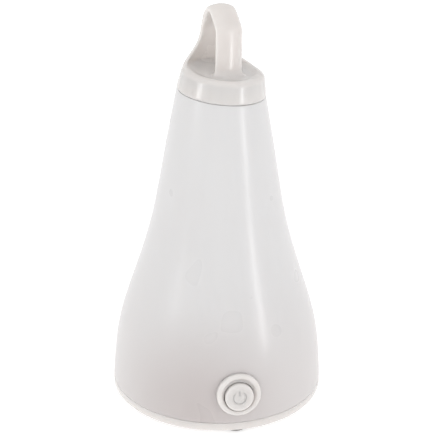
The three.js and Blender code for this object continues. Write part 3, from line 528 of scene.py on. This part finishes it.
def bell_mesh():
    """The bell's wall: one upright outline for each azimuth, skinned all round."""
    lanes = []
    edge = BELL_EDGE
    for azimuth in np.linspace(0, 2 * math.pi, BELL_LANES, endpoint=False):
        lane = []
        for offset, turn in ((0.0, 1), (SHELL_WALL, -1)):
            top = seam_height(azimuth, offset, SEAM_GAP) - edge
            low = list(np.linspace(SHELL_BOTTOM + edge, LEVEL_TOP, LOW_RINGS))
            high = list(np.linspace(LEVEL_TOP, top, HIGH_RINGS))[1:]
            wall = [(bell_radius(z) - offset, z) for z in low + high]
            near_low = [(bell_radius(SHELL_BOTTOM) - offset - turn * edge * (1 - math.cos(a)),
                         SHELL_BOTTOM + edge - edge * math.sin(a)) for a in (1.57, 1.05, 0.52)]
            near_top = [(wall[-1][0] - turn * edge * (1 - math.cos(a)), top + edge * math.sin(a))
                        for a in (0.52, 1.05, 1.57)]
            lane += (near_low + wall + near_top)[::turn]
        lanes.append([(r * math.cos(azimuth), r * math.sin(azimuth), z) for r, z in lane])
    return loft(lanes, True)


def wall_drill(radius, height, facing, sides=72):
    """Rod across the bell's wall, at the front (-1) or the back (1)."""
    rod = [(0, DRILL_FROM), (radius, DRILL_FROM), (radius, DRILL_TO), (0, DRILL_TO)]
    return turned(rod, sides, Matrix.Translation((0, 0, height)) @ Matrix.Rotation(
        -math.pi / 2 * facing, 4, "X"))


BUTTON_HEIGHT, BUTTON_DROP = 31.0, 1.3
button_low, button_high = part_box("power_button")
BUTTON_RADIUS = (button_high.x - button_low.x) / 2 / MM
jack_low, jack_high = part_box("dc_jack")
JACK_HEIGHT = (jack_low.z + jack_high.z) / 2 / MM
button_drill = wall_drill(BUTTON_RADIUS + BUTTON_HOLE_MARGIN, BUTTON_HEIGHT - BUTTON_DROP, -1)
bell = combined("bell", bell_mesh(), button_drill, wall_drill(JACK_HOLE, JACK_HEIGHT, 1))
ready("bell", crisp(bell), "base", "milky", "bell_shell")

# %% [markdown]
# ## The cap and its loop
#
# The cap is one moulding: a drum with a dish in its top, a post that stands in the dish, a strap over it
# and a tongue that runs down into the rear rim. Every junction is softly filleted, which is hard to model
# by hand. So the drum is turned and the loop lofted as separate closed shapes that run into each other.
# A voxel remesh melts both into one skin, and a light smoothing leaves fillets like those of a mould.

# %% The loop's side line
CAP_HEIGHT, DISH_FLOOR, PLATE_UNDER = 15.0, 13.5, 11.3
CAP_RADIUS = NECK_RADIUS + 0.45
HANDLE_HEIGHT, TONGUE_TOP, FOOT_FILLET = 57.0, 46.0, 5.0
STRAP_HALF, STRAP_THICK, TONGUE_THICK = 9.9, 3.6, 2.8
HANDLE_AZIMUTH = math.radians(13)
neck_shift = NECK_RADIUS * math.tan(LEAN) * NECK_SLOPE
cap_frame = neck @ Matrix.Translation((neck_shift, 0, 0)) @ Matrix.Rotation(
    HANDLE_AZIMUTH - LEAN_AZIMUTH, 4, "Z")


def cap_outer(height):
    """Outside radius of the cap at a height above the seam: it goes on with the bell's slope."""
    return CAP_RADIUS - NECK_SLOPE * height


side_points = np.array([
    (-cap_outer(DISH_FLOOR), DISH_FLOOR - 1), (-cap_outer(16), 16), (-26, 25), (-24.7, 34), (-23.7, 43),
    (-20.8, 51.6), (-15.2, HANDLE_HEIGHT - 0.4), (-10, 55.4), (-1.4, 49.6), (3.8, 44.6), (6, 37),
    (8.3, 26), (9.5, DISH_FLOOR + FOOT_FILLET), (10.1, DISH_FLOOR + 2.5), (10.6, DISH_FLOOR - 0.8)])


def between(first, last, start, end, here):
    """The value at here on the straight way from first, at start, to last, at end."""
    return ((end - here) * first + (here - start) * last) / (end - start)


def side_line(points, per_span=14):
    """Centripetal Catmull-Rom curve through points: it never overshoots between close ones."""
    ends = np.vstack([2 * points[0] - points[1], points, 2 * points[-1] - points[-2]])
    line = []
    for p0, p1, p2, p3 in zip(ends, ends[1:], ends[2:], ends[3:]):
        k0, k1, k2, k3 = np.cumsum([0.0] + [np.linalg.norm(b - a) ** 0.5
                                            for a, b in ((p0, p1), (p1, p2), (p2, p3))])
        for t in np.linspace(k1, k2, per_span, endpoint=False):
            a1, a2, a3 = between(p0, p1, k0, k1, t), between(p1, p2, k1, k2, t), between(p2, p3, k2, k3, t)
            b1, b2 = between(a1, a2, k0, k2, t), between(a2, a3, k1, k3, t)
            line.append(between(b1, b2, k1, k2, t))
    return np.array(line + [points[-1]])


line = side_line(side_points)
tangents = np.gradient(line, axis=0)
tangents /= np.linalg.norm(tangents, axis=1)[:, None]
print("side line:", len(line), "points")


# %% The loop's sections
STRAP_BEND, SPREAD_TOP, SPREAD_POWER, LEVEL_OVER = 22, 37, 2.6, 8
TUCK, TUCK_TOP, TUCK_POWER = 1.8, 34, 8  # the tongue's lower edges thin out, so that they melt into the rim
WIDEST = 0.985  # sine of the widest half angle of a section
SIDE_FLARE, BACK_FLARE, FLARE_LIMIT, EDGE_ROUND = 0.6, 0.7, 0.995, 1.03


def clamp(value):
    """The value, kept between 0 and 1."""
    return min(max(value, 0.0), 1.0)


def loop_section(outer, tangent, across=18):
    """One section of the loop: a band bent round the cap's axis at the rear foot, gently on the strap."""
    reach, height = outer
    rear = reach < 0 and height < TONGUE_TOP
    flat = clamp((TONGUE_TOP - height) / LEVEL_OVER) if rear else 0.0
    drop = 0.0 if rear else FOOT_FILLET * clamp((DISH_FLOOR + FOOT_FILLET - height) / FOOT_FILLET)
    normal = Vector((0, tangent[1], tangent[0]))
    level = Vector((0, -1.0 if reach > 0 else 1.0, 0))
    normal = normal.lerp(level, max(flat, drop / FOOT_FILLET)).normalized()
    bend = STRAP_BEND + (-reach - STRAP_BEND) * flat * flat
    flare = FOOT_FILLET - math.sqrt(FOOT_FILLET ** 2 - drop ** 2) * FLARE_LIMIT
    spread = clamp((SPREAD_TOP - height) / (SPREAD_TOP - CAP_HEIGHT)) if rear else 0.0
    half = STRAP_HALF + (cap_outer(CAP_HEIGHT) - 0.5 - STRAP_HALF) * spread ** SPREAD_POWER
    thick = STRAP_THICK + (TONGUE_THICK - STRAP_THICK) * flat
    sweep = math.asin(min((half + SIDE_FLARE * flare) / bend, WIDEST))
    middle = Vector((0, -reach, height))
    tuck = TUCK * clamp((TUCK_TOP - height) / (TUCK_TOP - CAP_HEIGHT)) if rear else 0.0

    def point(angle, depth):
        side = (bend - max(depth, 0)) * math.sin(angle)
        return Vector((side, 0, 0)) + normal * ((bend - depth) * math.cos(angle) - bend) + middle

    def face(depth, thinned=0.0):
        lanes = [1 - 2 * k / across for k in range(across + 1)]
        return [point(sweep * lane, depth + thinned * abs(lane) ** TUCK_POWER) for lane in lanes]

    def edge(side):
        return [point(side * sweep * EDGE_ROUND, (thick + tuck) / 2)]
    return face(-flare, tuck) + edge(-1) + face(thick + BACK_FLARE * flare)[::-1] + edge(1)


loop = loft([loop_section(outer, tangent) for outer, tangent in zip(line, tangents)], place=cap_frame)
print("loop sections:", len(line))

# %% The cap as one skin
CAP_INNER = 27.35
LIP, DISH_RUN, OUTLET_RADIUS, OUTLET_PLACE = 4.4, 4.5, 6.0, (6.5, 5.0)
lip_outside = cap_outer(CAP_HEIGHT)
drum = turned(rounded([
    (CAP_INNER, 0, 0), (CAP_RADIUS, 0, 0.3), (lip_outside, CAP_HEIGHT, 4.0),
    (lip_outside - LIP, CAP_HEIGHT, 6.0), (lip_outside - LIP - DISH_RUN, DISH_FLOOR, 8.0),
    (0, DISH_FLOOR, 0), (0, PLATE_UNDER, 0), (CAP_INNER, PLATE_UNDER, 0)]), 160, cap_frame)
OUTLET_HOLE, DRILL_TOP = OUTLET_RADIUS + 0.3, CAP_HEIGHT + 2
drill = turned([(0, 0), (OUTLET_HOLE, 0), (OUTLET_HOLE, DRILL_TOP), (0, DRILL_TOP)], 64,
               cap_frame @ Matrix.Translation((*OUTLET_PLACE, 0)))
VOXEL, SOFTEN_ROUNDS = 0.00055, 12
cap = bpy.data.objects.new("cap", drum)
scene.collection.objects.link(cap)
blank = bmesh.new()
blank.from_mesh(drum)
blank.from_mesh(loop)
blank.to_mesh(drum)
blank.free()
melt = cap.modifiers.new("melt", "REMESH")
melt.mode, melt.voxel_size, melt.adaptivity = "VOXEL", VOXEL, 0.0
melt.use_smooth_shade = True
soften = cap.modifiers.new("soften", "SMOOTH")
soften.factor, soften.iterations = 0.5, SOFTEN_ROUNDS
cap_mesh = combined("cap_with_loop", evaluated(cap, "cap"), drill)
ready("cap_with_loop", crisp(cap_mesh, 45), "cap", "gloss_white", "cap_handle")

# %% [markdown]
# ## Button, its ring and the power sign
#
# The button is a cup with a rounded edge and a barely hollow face. Round it sits a ring whose surface
# slopes in towards the button, so that a finger finds it. The sign on the face is raised by a tenth of a
# millimetre: a short bar and an open arc, swept as thin rounded ridges.

# %% Button and ring
BEZEL_RADIUS, BEZEL_PROUD, BUTTON_PROUD = 15.4, 2.8, 4.3
BEZEL_SLOPE = 1.7  # the ring's surface falls by this much towards the button
BEZEL_BACK, SKIRT_BACK, OVER_WALL = -3.8, -5.5, 0.12
SKIRT_RADIUS, BUTTON_WALL, STEM_RADIUS, BUTTON_BACK = 12.1, 1.6, 2.2, -9
press = Vector(joints["button_press"]["axis"])
wall = bell_radius(BUTTON_HEIGHT)
front = (Matrix.Translation((0, -wall, BUTTON_HEIGHT))
         @ (-press).to_track_quat("Z", "Y").to_matrix().to_4x4())
behind = front @ Matrix.Translation((0, -BUTTON_DROP, 0))
bore = BUTTON_RADIUS + 0.35
disc = turned(rounded([
    (0, BEZEL_BACK), (BEZEL_RADIUS, BEZEL_BACK), (BEZEL_RADIUS, BEZEL_PROUD, 1.5),
    (BEZEL_RADIUS - 3.0, BEZEL_PROUD, 2.0),
    (BUTTON_RADIUS + 0.8, BEZEL_PROUD - BEZEL_SLOPE, 2.0), (0, BEZEL_PROUD - BEZEL_SLOPE)]), 128, front)
near_wall = [(bell_radius(z) + OVER_WALL, z) for z in np.linspace(9, 60, 60)]
bell_body = turned([(0, 2)] + near_wall + [(0, 60)], BELL_LANES)
skirt = turned([(0, SKIRT_BACK), (SKIRT_RADIUS, SKIRT_BACK), (SKIRT_RADIUS, 0.4), (0, 0.4)], 96, behind)
hole = turned(rounded([(0, -8), (bore, -8), (bore, BEZEL_PROUD - 2.0), (bore + 0.5, BEZEL_PROUD - 1.5),
                       (bore + 0.5, 8), (0, 8)]), 128, behind)
trimmed = combined("trimmed", disc, bell_body)
joined = combined("joined", trimmed, skirt, operation="UNION")
bezel = combined("button_ring", joined, hole)
ready("button_ring", crisp(bezel, 40), "base", "gloss_white", "button_bezel")

button = turned(rounded([
    (0, BUTTON_PROUD - 0.2), (BUTTON_RADIUS, BUTTON_PROUD, 1.3), (BUTTON_RADIUS, BUTTON_BACK),
    (BUTTON_RADIUS - BUTTON_WALL, BUTTON_BACK), (BUTTON_RADIUS - BUTTON_WALL, BUTTON_PROUD - 2.4),
    (STEM_RADIUS, BUTTON_PROUD - 2.4), (STEM_RADIUS, BUTTON_BACK), (0, BUTTON_BACK)]), 128, behind)
ready("button", crisp(button, 40), "button", "gloss_white", "power_button")

# %% The power sign
SIGN_RADIUS, SIGN_WIDE, SIGN_PROUD = 4.5, 0.5, 0.12
face = BUTTON_PROUD - 0.17


def ridge(path, name):
    """Thin ridge with a round back along a path in the plane of the button's face."""
    rings = []
    for index, (x, y) in enumerate(path):
        ahead = Vector(path[min(index + 1, len(path) - 1)]) - Vector(path[max(index - 1, 0)])
        across = Vector((-ahead.y, ahead.x)).normalized()
        ending = 0.35 if index in (0, len(path) - 1) else 1.0
        rings.append([(x + across.x * SIGN_WIDE * ending * math.cos(a),
                       y + across.y * SIGN_WIDE * ending * math.cos(a),
                       face - 0.35 + (0.35 + SIGN_PROUD * ending) * max(math.sin(a), -0.6))
                      for a in np.linspace(0, 2 * math.pi, 16, endpoint=False)])
    return ready(name, crisp(loft(rings, place=behind), 50), "button", "gloss_white")


ARC_OPENING = 0.62  # half the angle that the arc leaves open at the top
turns = np.linspace(ARC_OPENING, 2 * math.pi - ARC_OPENING, 48)
arc = [(SIGN_RADIUS * math.sin(a), SIGN_RADIUS * math.cos(a)) for a in turns]
ridge(arc, "sign_arc")
ridge([(0, y) for y in np.linspace(0.9, 5.7, 8)], "sign_bar")

# %% [markdown]
# ## What repeats: feet, screws and air slots
#
# Four feet and four screws are copies of one piece round the base's axis, and the fan draws its air
# through a row of slots whose lengths follow a circle. Placing copies by hand goes wrong as soon as a
# count changes, so Geometry Nodes do it: one tree repeats a piece round a ring, another lays out the
# slot cutters. Their inputs are named sizes. Realize Instances turns the copies into plain geometry.

# %% A small builder for node trees
class Tree:
    """A Geometry Nodes tree in the making, with named inputs."""

    def __init__(self, name, **kinds):
        self.tree = bpy.data.node_groups.new(name, "GeometryNodeTree")
        self.tree.interface.new_socket("Geometry", in_out="OUTPUT", socket_type="NodeSocketGeometry")
        self.identifiers = {}
        for label, kind in kinds.items():
            made = self.tree.interface.new_socket(label, in_out="INPUT", socket_type="NodeSocket" + kind)
            self.identifiers[label] = made.identifier
        self.inputs = self.tree.nodes.new("NodeGroupInput").outputs

    def node(self, kind, settings=None, sockets=None):
        made = self.tree.nodes.new(kind)
        for name, value in (settings or {}).items():
            setattr(made, name, value)
        for name, value in (sockets or {}).items():
            if isinstance(value, bpy.types.NodeSocket):
                self.tree.links.new(value, made.inputs[name])
            else:
                made.inputs[name].default_value = value
        return made

    def maths(self, operation, first, second):
        return self.node("ShaderNodeMath", {"operation": operation}, {0: first, 1: second}).outputs[0]

    def done(self, geometry):
        solid = self.node("GeometryNodeRealizeInstances", {}, {"Geometry": geometry}).outputs[0]
        dressed = self.node("GeometryNodeSetMaterial", {}, {"Geometry": solid,
                                                            "Material": self.inputs["Finish"]})
        self.node("NodeGroupOutput", {}, {"Geometry": dressed.outputs[0]})

    def grow(self, name, **values):
        """Plain mesh that the tree makes with these values."""
        carrier = bpy.data.objects.new(name, bpy.data.meshes.new(name))
        scene.collection.objects.link(carrier)
        modifier = carrier.modifiers.new(name, "NODES")
        modifier.node_group = self.tree
        for label, value in values.items():
            modifier[self.identifiers[label]] = value
        return evaluated(carrier, name)


# %% Tree that repeats a piece round the base's axis
round_ring = Tree("round_ring", Piece="Object", Count="Int", Radius="Float", Start="Float",
                  Finish="Material")
row = round_ring.node("GeometryNodeMeshLine", {}, {"Count": round_ring.inputs["Count"],
                                                   "Offset": (0, 0, 0)}).outputs[0]
step = round_ring.maths("DIVIDE", 2 * math.pi, round_ring.inputs["Count"])
index = round_ring.node("GeometryNodeInputIndex").outputs[0]
turn = round_ring.maths("ADD", round_ring.maths("MULTIPLY", index, step), round_ring.inputs["Start"])
along_x, along_y = [
    round_ring.maths("MULTIPLY", round_ring.maths(way, turn, 0.0), round_ring.inputs["Radius"])
    for way in ("COSINE", "SINE")]
spot = round_ring.node("ShaderNodeCombineXYZ", {}, {0: along_x, 1: along_y}).outputs[0]
placed = round_ring.node("GeometryNodeSetPosition", {}, {"Geometry": row, "Position": spot}).outputs[0]
model = round_ring.node("GeometryNodeObjectInfo", {}, {"Object": round_ring.inputs["Piece"]})
facing = round_ring.node("ShaderNodeCombineXYZ", {}, {2: turn}).outputs[0]
copies = round_ring.node("GeometryNodeInstanceOnPoints", {}, {
    "Points": placed, "Instance": model.outputs["Geometry"], "Rotation": facing}).outputs[0]
round_ring.done(copies)
print("tree", round_ring.tree.name, "has", len(round_ring.tree.nodes), "nodes")


def around_base(name, mesh, look, radius, start, *stands_for):
    """Four copies of a mesh in a ring, as one piece on the base."""
    pattern = bpy.data.objects.new("pattern", mesh)
    scene.collection.objects.link(pattern)
    ring_mesh = round_ring.grow(name, Piece=pattern, Count=4, Radius=radius * MM, Start=start,
                                Finish=looks[look])
    bpy.data.objects.remove(pattern)
    return ready(name, crisp(ring_mesh, 38), "base", look, *stands_for)


# %% Feet and screws
foot_low, foot_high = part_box("foot_2")
FOOT_RADIUS = (foot_high.y - foot_low.y) / 2 / MM
FOOT_CIRCLE = (foot_low.x + foot_high.x) / 2 / MM
foot = turned(rounded([(0, 0), (FOOT_RADIUS - 2.0, 0, 0.3), (FOOT_RADIUS - 1.4, 0.25, 0.3),
                       (FOOT_RADIUS, 0.5, 0.5), (FOOT_RADIUS, 2.7, 0.2), (0, 2.7)]), 48)
around_base("feet", foot, "rubber", FOOT_CIRCLE, -math.pi / 2, "foot_1", "foot_2", "foot_3", "foot_4")

screw_low, screw_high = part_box("base_screw_1")
HEAD_RADIUS = (screw_high.x - screw_low.x) / 2 / MM
HEAD_BOTTOM, SCREW_TOP = screw_low.z / MM, screw_high.z / MM
SCREW_CIRCLE = math.hypot(screw_low.x + screw_high.x, screw_low.y + screw_high.y) / 2 / MM
shank = [(1.5 - (0.35 if k % 2 else 0.0), HEAD_BOTTOM + 2.4 + 0.5 * k)
         for k in range(int((SCREW_TOP - HEAD_BOTTOM - 3) / 0.5))]
screw = turned(rounded([(0, HEAD_BOTTOM), (HEAD_RADIUS - 0.1, HEAD_BOTTOM, 0.9),
                        (HEAD_RADIUS, HEAD_BOTTOM + 2.1, 0.2)]) + shank + [(0, SCREW_TOP)], 36)


def bar(size, middle):
    """Block mesh for cutting, sizes and middle in millimetres."""
    mesh = bpy.data.meshes.new("bar")
    shape = bmesh.new()
    bmesh.ops.create_cube(shape, size=1.0)
    bmesh.ops.transform(shape, matrix=Matrix.Translation(Vector(middle) * MM) @ Matrix.Diagonal(
        (*(Vector(size) * MM), 1)), verts=shape.verts)
    shape.to_mesh(mesh)
    shape.free()
    return mesh


crossed = combined("crossed", screw, bar((3.6, 0.8, 2.4), (0, 0, HEAD_BOTTOM)),
                   bar((0.8, 3.6, 2.4), (0, 0, HEAD_BOTTOM)))
around_base("base_screws", crossed, "steel", SCREW_CIRCLE, math.pi / 4,
            "base_screw_1", "base_screw_2", "base_screw_3", "base_screw_4")

# %% [markdown]
# ## The base plate
#
# The plate closes the bell from below. Outside it is a smooth rounded rim under a thin seam; underneath
# it has pockets for feet and screws and a round field of slots for the fan. It is one turned shape with
# those holes cut out, and the slot tree from above gives all nine cutters at once.

# %% Slot tree
SLOT_COUNT, SLOT_PITCH, SLOT_WIDTH, FIELD_RADIUS = 9, 4.4, 2.4, 20.0
SLOT_MARGIN, SLOT_DEPTH = 0.006, 0.008
slot_row = Tree("slot_row", Count="Int", Pitch="Float", Width="Float", Field="Float", Finish="Material")
cells = slot_row.node("GeometryNodeMeshLine", {}, {"Count": slot_row.inputs["Count"],
                                                   "Offset": (0, 0, 0)}).outputs[0]
middle = slot_row.maths("DIVIDE", slot_row.maths("SUBTRACT", slot_row.inputs["Count"], 1.0), 2.0)
number = slot_row.node("GeometryNodeInputIndex").outputs[0]
along = slot_row.maths("MULTIPLY", slot_row.maths("SUBTRACT", number, middle), slot_row.inputs["Pitch"])
field_squared, along_squared = [slot_row.maths("MULTIPLY", length, length)
                                for length in (slot_row.inputs["Field"], along)]
chord = slot_row.maths("SQRT", slot_row.maths("SUBTRACT", field_squared, along_squared), 0.0)
reach = slot_row.maths("SUBTRACT", slot_row.maths("MULTIPLY", chord, 2.0), SLOT_MARGIN)
at = slot_row.node("ShaderNodeCombineXYZ", {}, {0: along}).outputs[0]
cells = slot_row.node("GeometryNodeSetPosition", {}, {"Geometry": cells, "Position": at}).outputs[0]
cutter = slot_row.node("GeometryNodeMeshCube", {}, {"Size": (1, 1, 1)}).outputs[0]
size = slot_row.node("ShaderNodeCombineXYZ", {}, {
    0: slot_row.inputs["Width"], 1: reach, 2: SLOT_DEPTH}).outputs[0]
cutters = slot_row.node("GeometryNodeInstanceOnPoints", {}, {"Points": cells, "Instance": cutter,
                                                             "Scale": size}).outputs[0]
slot_row.done(cutters)
print("tree", slot_row.tree.name, "has", len(slot_row.tree.nodes), "nodes")

# %% Base plate
plate_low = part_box("base_plate")[0]
FOOT_HEIGHT, RIM_TOP, PLATE_INSIDE = plate_low.z / MM, 9.0, 4.5
SCREW_POST, BOARD_POST, FAN_MOUNT, PILOT_HOLE = 6.0, 3.5, 4.0, 1.6
SPIGOT = BASE_RADIUS - SHELL_WALL - 0.3
fan_low, fan_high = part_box("fan_frame")
FAN_X = (fan_low.x + fan_high.x) / 2 / MM
slots_mesh = slot_row.grow("slots", Count=SLOT_COUNT, Pitch=SLOT_PITCH * MM, Width=SLOT_WIDTH * MM,
                           Field=FIELD_RADIUS * MM, Finish=looks["gloss_white"])
slots_mesh.transform(Matrix.Translation((FAN_X * MM, 0, 0.003)))
blank_plate = turned(rounded([
    (0, FOOT_HEIGHT), (BASE_RADIUS, FOOT_HEIGHT, 3.2), (BASE_RADIUS, RIM_TOP, 0.6), (SPIGOT, RIM_TOP),
    (SPIGOT, RIM_TOP + 3, 0.3), (SPIGOT - 2, RIM_TOP + 3, 0.3), (SPIGOT - 2, PLATE_INSIDE, 1.0),
    (0, PLATE_INSIDE)]), 192)


def rods(radius, low, high, places, sides=40):
    """Cylinder cutters or posts at several places."""
    return [turned([(0, low), (radius, low), (radius, high), (0, high)], sides, Matrix.Translation((x, y, 0)))
            for x, y in places]


def ring_places(radius, start):
    return [(radius * math.cos(start + k * math.pi / 2), radius * math.sin(start + k * math.pi / 2))
            for k in range(4)]


screw_places, foot_places = ring_places(SCREW_CIRCLE, math.pi / 4), ring_places(FOOT_CIRCLE, -math.pi / 2)
FAN_POST, BOARD_POSTS = 16.0, ((-25, 38), (13, 38))
fan_posts = [(FAN_X + FAN_POST, FAN_POST), (FAN_X - FAN_POST, -FAN_POST)]
posted = combined("posted", blank_plate, *rods(SCREW_POST, 3, 11.7, screw_places),
                  *rods(BOARD_POST, 3, 15.7, BOARD_POSTS), *rods(FAN_MOUNT, 3, 17.7, fan_posts),
                  operation="UNION")
drilled = combined("base_rim", posted, slots_mesh, *rods(1.8, 0, 14, screw_places),
                   *rods(HEAD_RADIUS + 0.3, 0, 6.5, screw_places),
                   *rods(PILOT_HOLE, PLATE_INSIDE, 16, BOARD_POSTS),
                   *rods(PILOT_HOLE, PLATE_INSIDE, 18, fan_posts),
                   *rods(FOOT_RADIUS + 0.3, 1, 3, foot_places, 64))
ready("base_rim", crisp(drilled, 35), "base", "gloss_white", "base_plate")
